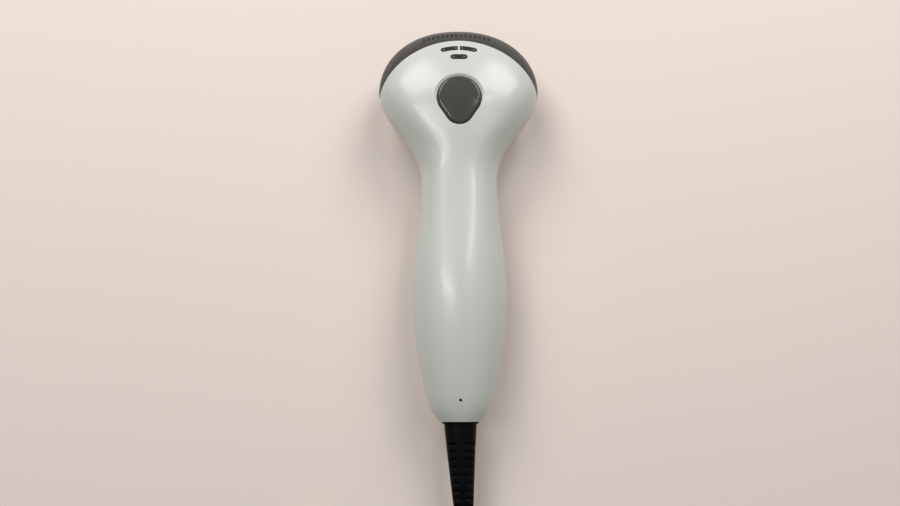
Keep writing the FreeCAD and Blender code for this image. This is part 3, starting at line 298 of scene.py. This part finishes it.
def coil_points():
    """Control points of the coil, wound clockwise as seen from above."""
    points = []
    count = int((len(TURNS) - 0.5) * POINTS_PER_TURN)
    for i in range(count + 1):
        turn = i / POINTS_PER_TURN
        number = min(int(turn), len(TURNS) - 1)
        radius, row = TURNS[number]
        share = turn - number
        if share > 1 - SHIFT_SHARE and number + 1 < len(TURNS):
            next_radius, next_row = TURNS[number + 1]
            blend = (share - 1 + SHIFT_SHARE) / SHIFT_SHARE
            blend = blend * blend * (3 - 2 * blend)
            radius += (next_radius - radius) * blend
            row += (next_row - row) * blend
        angle = -2 * math.pi * turn
        height = COIL_LIFT + CABLE_RADIUS / MM + ROW_HEIGHT * row
        points.append((COIL_X + radius * math.cos(angle), COIL_Y + radius * math.sin(angle), height))
    return points


def cable_curve():
    """The whole cable as one smooth line."""
    curve = bpy.data.curves.new("cable", "CURVE")
    curve.dimensions = "3D"
    curve.bevel_depth = CABLE_RADIUS
    curve.bevel_resolution = 6
    curve.resolution_u = 10
    curve.use_fill_caps = True
    spline = curve.splines.new("NURBS")
    points = LEAD_ROUTE + coil_points() + TAIL_ROUTE
    spline.points.add(len(points) - 1)
    for control, (x, y, z) in zip(spline.points, points):
        control.co = (x * MM, y * MM, z * MM, 1.0)
    spline.order_u = 3
    spline.use_endpoint_u = True
    cable = bpy.data.objects.new("cable", curve)
    bpy.context.scene.collection.objects.link(cable)
    curve.materials.append(finishes["cable"])
    return cable


def line_length(curve_object):
    """Length of a curve's own line, with no thickness."""
    bare = curve_object.copy()
    bare.data = curve_object.data.copy()
    bare.data.bevel_depth = 0.0
    bare.data.use_fill_caps = False
    bpy.context.scene.collection.objects.link(bare)
    bpy.context.view_layer.update()
    mesh = bpy.data.meshes.new_from_object(bare.evaluated_get(bpy.context.evaluated_depsgraph_get()))
    total = 0.0
    for edge in mesh.edges:
        a, b = (mesh.vertices[i].co for i in edge.vertices)
        total += (a - b).length
    bpy.data.objects.remove(bare)
    return total


cable = cable_curve()
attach(cable, "housing")
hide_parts("cable_lead", "cable_coil", "cable_tail")
cable_length = line_length(cable)
print("cable length", round(cable_length, 4))


# ---------------------------------------------------------------- strain relief

TAIL_Y = -97.0
TAIL_AXIS_Z = 17.2
BOOT_LENGTH = 51.0
# Distance behind the scanner, sideways shift, height, share of the taper, lean in degrees.
BOOT_AXIS = [(0.0, 0.0, TAIL_AXIS_Z, 0.0, 0.0), (13.0, 0.3, 16.7, 0.25, 3.0), (26.0, 0.8, 15.5, 0.5, 7.0),
             (39.0, 1.4, 13.5, 0.75, 11.0), (BOOT_LENGTH, 2.0, 10.9, 1.0, 14.0)]
BOOT_WIDTH, BOOT_HEIGHT, BOOT_TIP = 14.9, 11.6, 6.6
BOOT_SLOTS_FROM = 8.0
BOOT_SLOTS_TO = 47.0
SLOT_PITCH = 3.3
SLOT_DEPTH = 0.30       # share of the half height that a slot cuts in
SLOT_INNER, SLOT_OUTER = 0.30, 0.84     # where a slot begins and ends, as shares of the half width
BOOT_STEP = 0.22
BOOT_POINTS = 96


def boot_axis(behind):
    """Centre, taper and lean of the boot at a distance behind the scanner."""
    for first, second in zip(BOOT_AXIS, BOOT_AXIS[1:]):
        if behind <= second[0]:
            share = (behind - first[0]) / (second[0] - first[0])
            break
    return [a + (b - a) * share for a, b in zip(first, second)][1:]


def slot_depth(behind):
    """How deep the slots cut at this distance, 0 to 1, with soft edges."""
    if not BOOT_SLOTS_FROM < behind < BOOT_SLOTS_TO:
        return 0.0
    phase = ((behind - BOOT_SLOTS_FROM) % SLOT_PITCH) / SLOT_PITCH
    return smooth_step(0.26, 0.34, phase) * (1 - smooth_step(0.66, 0.74, phase))


def smooth_step(low, high, value):
    """A share that rises softly from 0 at the low value to 1 at the high one."""
    share = min(1.0, max(0.0, (value - low) / (high - low)))
    return share * share * (3 - 2 * share)


def boot_ring(behind, share, extra=0.0):
    """One oval ring of the boot, notched where a slot crosses it."""
    shift, height, taper, lean = boot_axis(max(0.0, behind))
    half_width = (BOOT_WIDTH + (BOOT_TIP - BOOT_WIDTH) * taper) / 2 * share
    half_height = (BOOT_HEIGHT + (BOOT_TIP - BOOT_HEIGHT) * taper) / 2 * share
    cut = slot_depth(behind)
    tilt = math.radians(lean)
    ring = []
    for i in range(BOOT_POINTS):
        angle = 2 * math.pi * i / BOOT_POINTS
        side = math.cos(angle)
        across = smooth_step(SLOT_INNER, SLOT_INNER + 0.06, abs(side))
        across *= 1 - smooth_step(SLOT_OUTER, SLOT_OUTER + 0.04, abs(side))
        notch = 1.0 - SLOT_DEPTH * cut * across
        x = half_width * side
        up = half_height * math.sin(angle) * notch
        y = TAIL_Y - behind - extra - up * math.sin(tilt)
        ring.append(Vector((shift + x, y, height + up * math.cos(tilt))) * MM)
    return ring


def strain_relief():
    """A tapered oval boot with a row of slots along each side and a rolled tip."""
    rings = [boot_ring(behind, share) for behind, share in ((-3.0, 0.96), (-0.4, 0.96), (-0.1, 0.97))]
    steps = int(BOOT_LENGTH / BOOT_STEP)
    for i in range(steps + 1):
        rings.append(boot_ring(BOOT_LENGTH * i / steps, 1.0))
    rings.append(boot_ring(BOOT_LENGTH, 0.93, 0.5))
    rings.append(boot_ring(BOOT_LENGTH, 0.80, 0.7))
    return add_piece("strain_relief_boot", rings_to_mesh("strain_relief_boot", rings), "housing", "cable")


boot = strain_relief()
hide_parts("strain_relief")

# The rim that covers the opening in the shells: distance behind the scanner, and size
# against the boot's.
RIM_PROFILE = ((-0.35, 1.02), (0.0, 1.10), (0.35, 1.14), (0.75, 1.10), (0.9, 1.0))
rim_rings = []
for behind, share in RIM_PROFILE:
    rim_rings.append([Vector((BOOT_WIDTH / 2 * share * math.cos(angle), TAIL_Y - behind,
                              TAIL_AXIS_Z + BOOT_HEIGHT / 2 * share * math.sin(angle))) * MM
                      for angle in [2 * math.pi * i / BOOT_POINTS for i in range(BOOT_POINTS)]])
boot_rim = add_piece("strain_relief_rim", rings_to_mesh("strain_relief_rim", rim_rings), "housing", "cable")


# ---------------------------------------------------------------- host plug and tie

PLUG_X, PLUG_Z, GRIP_START = -68.2, 4.55, -181.0
GRIP_LENGTH, GRIP_WIDTH, GRIP_HEIGHT, GRIP_CORNER = 29.0, 16.4, 8.6, 2.6
# Distance along the grip, and its width there as a share of the widest.
GRIP_SHAPE = [(0.0, 0.45), (3.0, 0.62), (9.0, 0.95), (19.0, 1.0), (28.4, 0.965), (28.8, 0.95), (29.0, 0.90)]
GRIP_RIBS_FROM, GRIP_RIBS_TO, RIB_PITCH, RIB_DEPTH = 9.0, 22.0, 2.2, 0.4


def rounded_outline(half_width, half_height, corner, per_corner=8, per_side=1):
    """Points round a rounded rectangle, as pairs of across and up."""
    bends = []
    for quarter, (side, rise) in enumerate(((1, 1), (-1, 1), (-1, -1), (1, -1))):
        turns = [math.pi / 2 * (quarter + i / per_corner) for i in range(per_corner + 1)]
        bends.append([(side * (half_width - corner) + corner * math.cos(turn),
                       rise * (half_height - corner) + corner * math.sin(turn)) for turn in turns])
    points = []
    for bend, following in zip(bends, bends[1:] + bends[:1]):
        points += bend
        (from_x, from_y), (to_x, to_y) = bend[-1], following[0]
        for i in range(1, per_side):
            share = i / per_side
            points.append((from_x + (to_x - from_x) * share, from_y + (to_y - from_y) * share))
    return points


def between(table, at):
    """Read a table of place and value pairs, with soft steps between its rows."""
    for (start, first), (end, second) in zip(table, table[1:]):
        if at <= end:
            return first + (second - first) * smooth_step(start, end, at)
    return table[-1][1]


def grip_ring(along):
    """One rounded ring of the plug's grip, grooved across its broad faces."""
    share = between(GRIP_SHAPE, along)
    outline = rounded_outline(GRIP_WIDTH / 2 * share, GRIP_HEIGHT / 2 * max(share, 0.66),
                              GRIP_CORNER * share, per_side=14)
    groove = 0.0
    if GRIP_RIBS_FROM < along < GRIP_RIBS_TO:
        groove = 0.5 - 0.5 * math.cos(2 * math.pi * (along - GRIP_RIBS_FROM) / RIB_PITCH)
    ring = []
    for across, up in outline:
        flat = 1 - smooth_step(0.55, 0.8, abs(across) / (GRIP_WIDTH / 2))
        up -= math.copysign(RIB_DEPTH * groove * flat, up)
        ring.append(Vector((PLUG_X + across, GRIP_START + along, PLUG_Z + up)) * MM)
    return ring


GRIP_STEPS = 116
grip_rings = [grip_ring(GRIP_LENGTH * i / GRIP_STEPS) for i in range(GRIP_STEPS + 1)]
plug_grip = add_piece("plug_grip", rings_to_mesh("plug_grip", grip_rings), "housing", "plug")
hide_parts("usb_grip")

STRAP_WIDTH, STRAP_THICKNESS, STRAP_LAP = 8.4, 0.7, 0.6
# The strap's own section: across its width, and out from the coil as a share of its thickness.
STRAP_PROFILE = [(-1.0, 0.15), (-0.96, 0.85), (-0.8, 1.0), (0.8, 1.0), (0.96, 0.85), (1.0, 0.15), (0.9, 0.05),
                 (-0.9, 0.05)]
BAND_HALF_WIDTH, BAND_HALF_HEIGHT, BAND_CORNER, BAND_MEAN = 10.1, 5.05, 2.5, 29.0


def strap():
    """A fabric strap round the coil, with its free end lapped over the top."""
    outline = rounded_outline(BAND_HALF_WIDTH, BAND_HALF_HEIGHT, BAND_CORNER, per_corner=10, per_side=12)
    rings = []
    count = len(outline)
    for number, (across, up) in enumerate(outline):
        lap = smooth_step(0.02, 0.05, number / count) * (1 - smooth_step(0.30, 0.34, number / count))
        thick = STRAP_THICKNESS + STRAP_LAP * lap
        beyond_side = max(0.0, abs(across) - BAND_HALF_WIDTH + BAND_CORNER)
        beyond_top = max(0.0, abs(up) - BAND_HALF_HEIGHT + BAND_CORNER)
        outwards = Vector((math.copysign(beyond_side, across), math.copysign(beyond_top, up))).normalized()
        ring = []
        for wide, share in STRAP_PROFILE:
            step = outwards * thick * share
            ring.append(Vector((COIL_X + STRAP_WIDTH / 2 * wide, COIL_Y - BAND_MEAN - across - step.x,
                                COIL_LIFT + BAND_HALF_HEIGHT + up + step.y)) * MM)
        rings.append(ring)
    work = bmesh.new()
    rows = [[work.verts.new(point) for point in ring] for ring in rings]
    width = len(STRAP_PROFILE)
    for i in range(count):
        lower, upper = rows[i], rows[(i + 1) % count]
        for j in range(width):
            k = (j + 1) % width
            work.faces.new((lower[j], lower[k], upper[k], upper[j]))
    return add_piece("coil_strap", finished_mesh(work, "coil_strap"), "housing", "tie")


coil_strap = strap()
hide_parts("coil_tie")


# ---------------------------------------------------------------- marks on the surfaces

def surface_of(name):
    """The faces of a CAD node, to lay small pieces on."""
    mesh = nodes[name].data
    points = [vertex.co.copy() for vertex in mesh.vertices]
    return BVHTree.FromPolygons(points, [list(face.vertices) for face in mesh.polygons])


def land_on(tree, x, y, from_above=True):
    """Where an upright line meets a surface, and which way the surface faces there."""
    start = Vector((x * MM, y * MM, 0.2 if from_above else -0.1))
    place, normal, _, _ = tree.ray_cast(start, Vector((0, 0, -1 if from_above else 1)))
    if normal.z * (1 if from_above else -1) < 0:
        normal = -normal
    return place, normal


def patch(tree, outline, rise, sink):
    """A thin plate on a surface's upper side; its outline is pairs of x and y."""
    work = bmesh.new()
    centre = (sum(x for x, y in outline) / len(outline), sum(y for x, y in outline) / len(outline))
    rows = []
    for share, height in ((1.0, -sink), (1.0, rise * 0.6), (0.93, rise), (0.5, rise)):
        row = []
        for x, y in outline:
            place, normal = land_on(tree, centre[0] + (x - centre[0]) * share,
                                    centre[1] + (y - centre[1]) * share)
            row.append(work.verts.new(place + normal * height * MM))
        rows.append(row)
    count = len(outline)
    for lower, upper in zip(rows, rows[1:]):
        for i in range(count):
            j = (i + 1) % count
            work.faces.new((lower[i], lower[j], upper[j], upper[i]))
    work.faces.new(list(reversed(rows[0])))
    place, normal = land_on(tree, *centre)
    middle = work.verts.new(place + normal * rise * MM)
    for i in range(count):
        work.faces.new((rows[-1][i], rows[-1][(i + 1) % count], middle))
    return finished_mesh(work, "patch")


def joined(name, meshes, slot, material):
    """Several small meshes as one piece of the housing."""
    work = bmesh.new()
    for mesh in meshes:
        work.from_mesh(mesh)
    whole = bpy.data.meshes.new(name)
    work.to_mesh(whole)
    work.free()
    whole.materials.append(material)
    return add_piece(name, whole, "housing", slot)


# A plain row of short bars stands in for the marking on the bezel.
BARS = 15
BAR_PITCH, BAR_WIDTH, BAR_LENGTH, BAR_CORNER = 2.3, 1.5, 3.0, 0.3
BARS_MIDDLE_X, BARS_FRONT_Y, BARS_ARC = -1.0, 89.6, 52.0
bezel_surface = surface_of("front_bezel")
bars = []
for i in range(BARS):
    x = BARS_MIDDLE_X + (i - (BARS - 1) / 2) * BAR_PITCH
    y = BARS_FRONT_Y - (BARS_ARC - math.sqrt(BARS_ARC ** 2 - x ** 2))
    outline = [(x + across, y + along)
               for across, along in rounded_outline(BAR_WIDTH / 2, BAR_LENGTH / 2, BAR_CORNER, per_corner=3)]
    bars.append(patch(bezel_surface, outline, rise=0.04, sink=0.05))
joined("bezel_bars", bars, "bezel", moulded_plastic("bezel_ink", (0.004, 0.004, 0.004), 0.6))

# Small light guides moulded into the status windows, two in each.
GUIDE_RADIUS = 0.5
GUIDE_POINTS = 20
GUIDE_PLACES = {"status_lens_left": [(-7.3, 78.5), (-1.5, 79.6)],
                "status_lens_right": [(7.3, 78.5), (1.5, 79.6)],
                "status_lens_lower": [(-2.6, 74.0), (2.5, 74.0)]}
turns = [2 * math.pi * i / GUIDE_POINTS for i in range(GUIDE_POINTS)]
guides = []
for node, places in GUIDE_PLACES.items():
    lens_surface = surface_of(node)
    for x, y in places:
        ring = [(x + GUIDE_RADIUS * math.cos(turn), y + GUIDE_RADIUS * math.sin(turn)) for turn in turns]
        guides.append(patch(lens_surface, ring, rise=0.08, sink=0.05))
joined("status_light_guides", guides, "lamp", polished_plastic("guide_plastic", (0.13, 0.135, 0.105), 0.15))

# A blank rating label under the head.
LABEL_WIDTH, LABEL_LENGTH, LABEL_CORNER, LABEL_Y = 27.0, 17.0, 2.0, 36.0
LABEL_THICKNESS, LABEL_MIDDLE = 0.14, 0.12      # the middle of its thickness stands off the shell
LABEL_COLUMNS, LABEL_ROWS = 28, 18


def label():
    """A thin label that follows the shell's underside."""
    underside = surface_of("bottom_shell")
    work = bmesh.new()
    grid = []
    for j in range(LABEL_ROWS + 1):
        row = []
        y = LABEL_LENGTH * (j / LABEL_ROWS - 0.5)
        inset = max(0.0, abs(y) - LABEL_LENGTH / 2 + LABEL_CORNER)
        narrow = LABEL_CORNER - math.sqrt(max(0.0, LABEL_CORNER ** 2 - inset ** 2))
        for i in range(LABEL_COLUMNS + 1):
            x = (LABEL_WIDTH - 2 * narrow) * (i / LABEL_COLUMNS - 0.5)
            place, normal = land_on(underside, x, LABEL_Y + y, from_above=False)
            row.append(work.verts.new(place + normal * LABEL_MIDDLE * MM))
        grid.append(row)
    for near, far in zip(grid, grid[1:]):
        for i in range(LABEL_COLUMNS):
            work.faces.new((near[i], near[i + 1], far[i + 1], far[i]))
    mesh = finished_mesh(work, "rating_label")
    mesh.materials.append(moulded_plastic("label_film", (0.52, 0.52, 0.52), 0.35, grain=0.05))
    piece = add_piece("rating_label", mesh, "housing", "shell")
    thickness = piece.modifiers.new("thickness", "SOLIDIFY")
    thickness.thickness = LABEL_THICKNESS * MM
    thickness.offset = 0.0


label()


# ---------------------------------------------------------------- stage and lights

FLOOR_COLOUR = (0.80, 0.705, 0.645)
WARM = (1.0, 0.985, 0.965)
WHITE = (1.0, 1.0, 1.0)


def floor():
    """A plain pale sheet that the scanner lies on."""
    bpy.ops.mesh.primitive_plane_add(size=6.0, location=(0, 0, -0.0002))
    plane = bpy.context.object
    plane.name = "floor"
    material, tree, shader = new_material("floor_paper")
    lighter = [min(1.0, channel * 1.02) for channel in FLOOR_COLOUR]
    tree.links.new(ramp(tree, noise(tree, 9.0, 3.0), FLOOR_COLOUR, lighter), shader.inputs["Base Color"])
    shader.inputs["Roughness"].default_value = 0.8
    plane.data.materials.append(material)


def area_light(name, at, aim, width, height, power, colour):
    """A rectangular lamp at one point that faces another, in metres."""
    data = bpy.data.lights.new(name, "AREA")
    data.shape = "RECTANGLE"
    data.size = width
    data.size_y = height
    data.energy = power
    data.color = colour
    lamp = bpy.data.objects.new(name, data)
    lamp.location = at
    lamp.rotation_euler = (Vector(aim) - Vector(at)).to_track_quat("-Z", "Y").to_euler()
    bpy.context.scene.collection.objects.link(lamp)


floor()
# Two broad soft lamps ahead of the head, one on each side, so that the button doesn't mirror
# either, and two ceiling tubes that draw streaks along the handle.
area_light("key_left", (-0.42, 0.62, 0.66), (0, 0.03, 0), 0.56, 0.44, 4.4, WARM)
area_light("key_right", (0.46, 0.62, 0.66), (0, 0.03, 0), 0.56, 0.44, 4.7, WARM)
area_light("tube_left", (-0.60, 0.14, 1.45), (-0.01, -0.02, 0.03), 0.05, 0.85, 5.2, WHITE)
area_light("tube_right", (0.52, 0.42, 1.45), (0.0, 0.0, 0.03), 0.06, 0.4, 2.2, WHITE)

world = bpy.data.worlds.new("soft_room")
world.use_nodes = True
background = world.node_tree.nodes["Background"]
background.inputs["Color"].default_value = (0.95, 0.96, 1.0, 1.0)
background.inputs["Strength"].default_value = 0.12
bpy.context.scene.world = world
bpy.context.scene.view_settings.view_transform = "Standard"
bpy.context.scene.view_settings.look = "None"
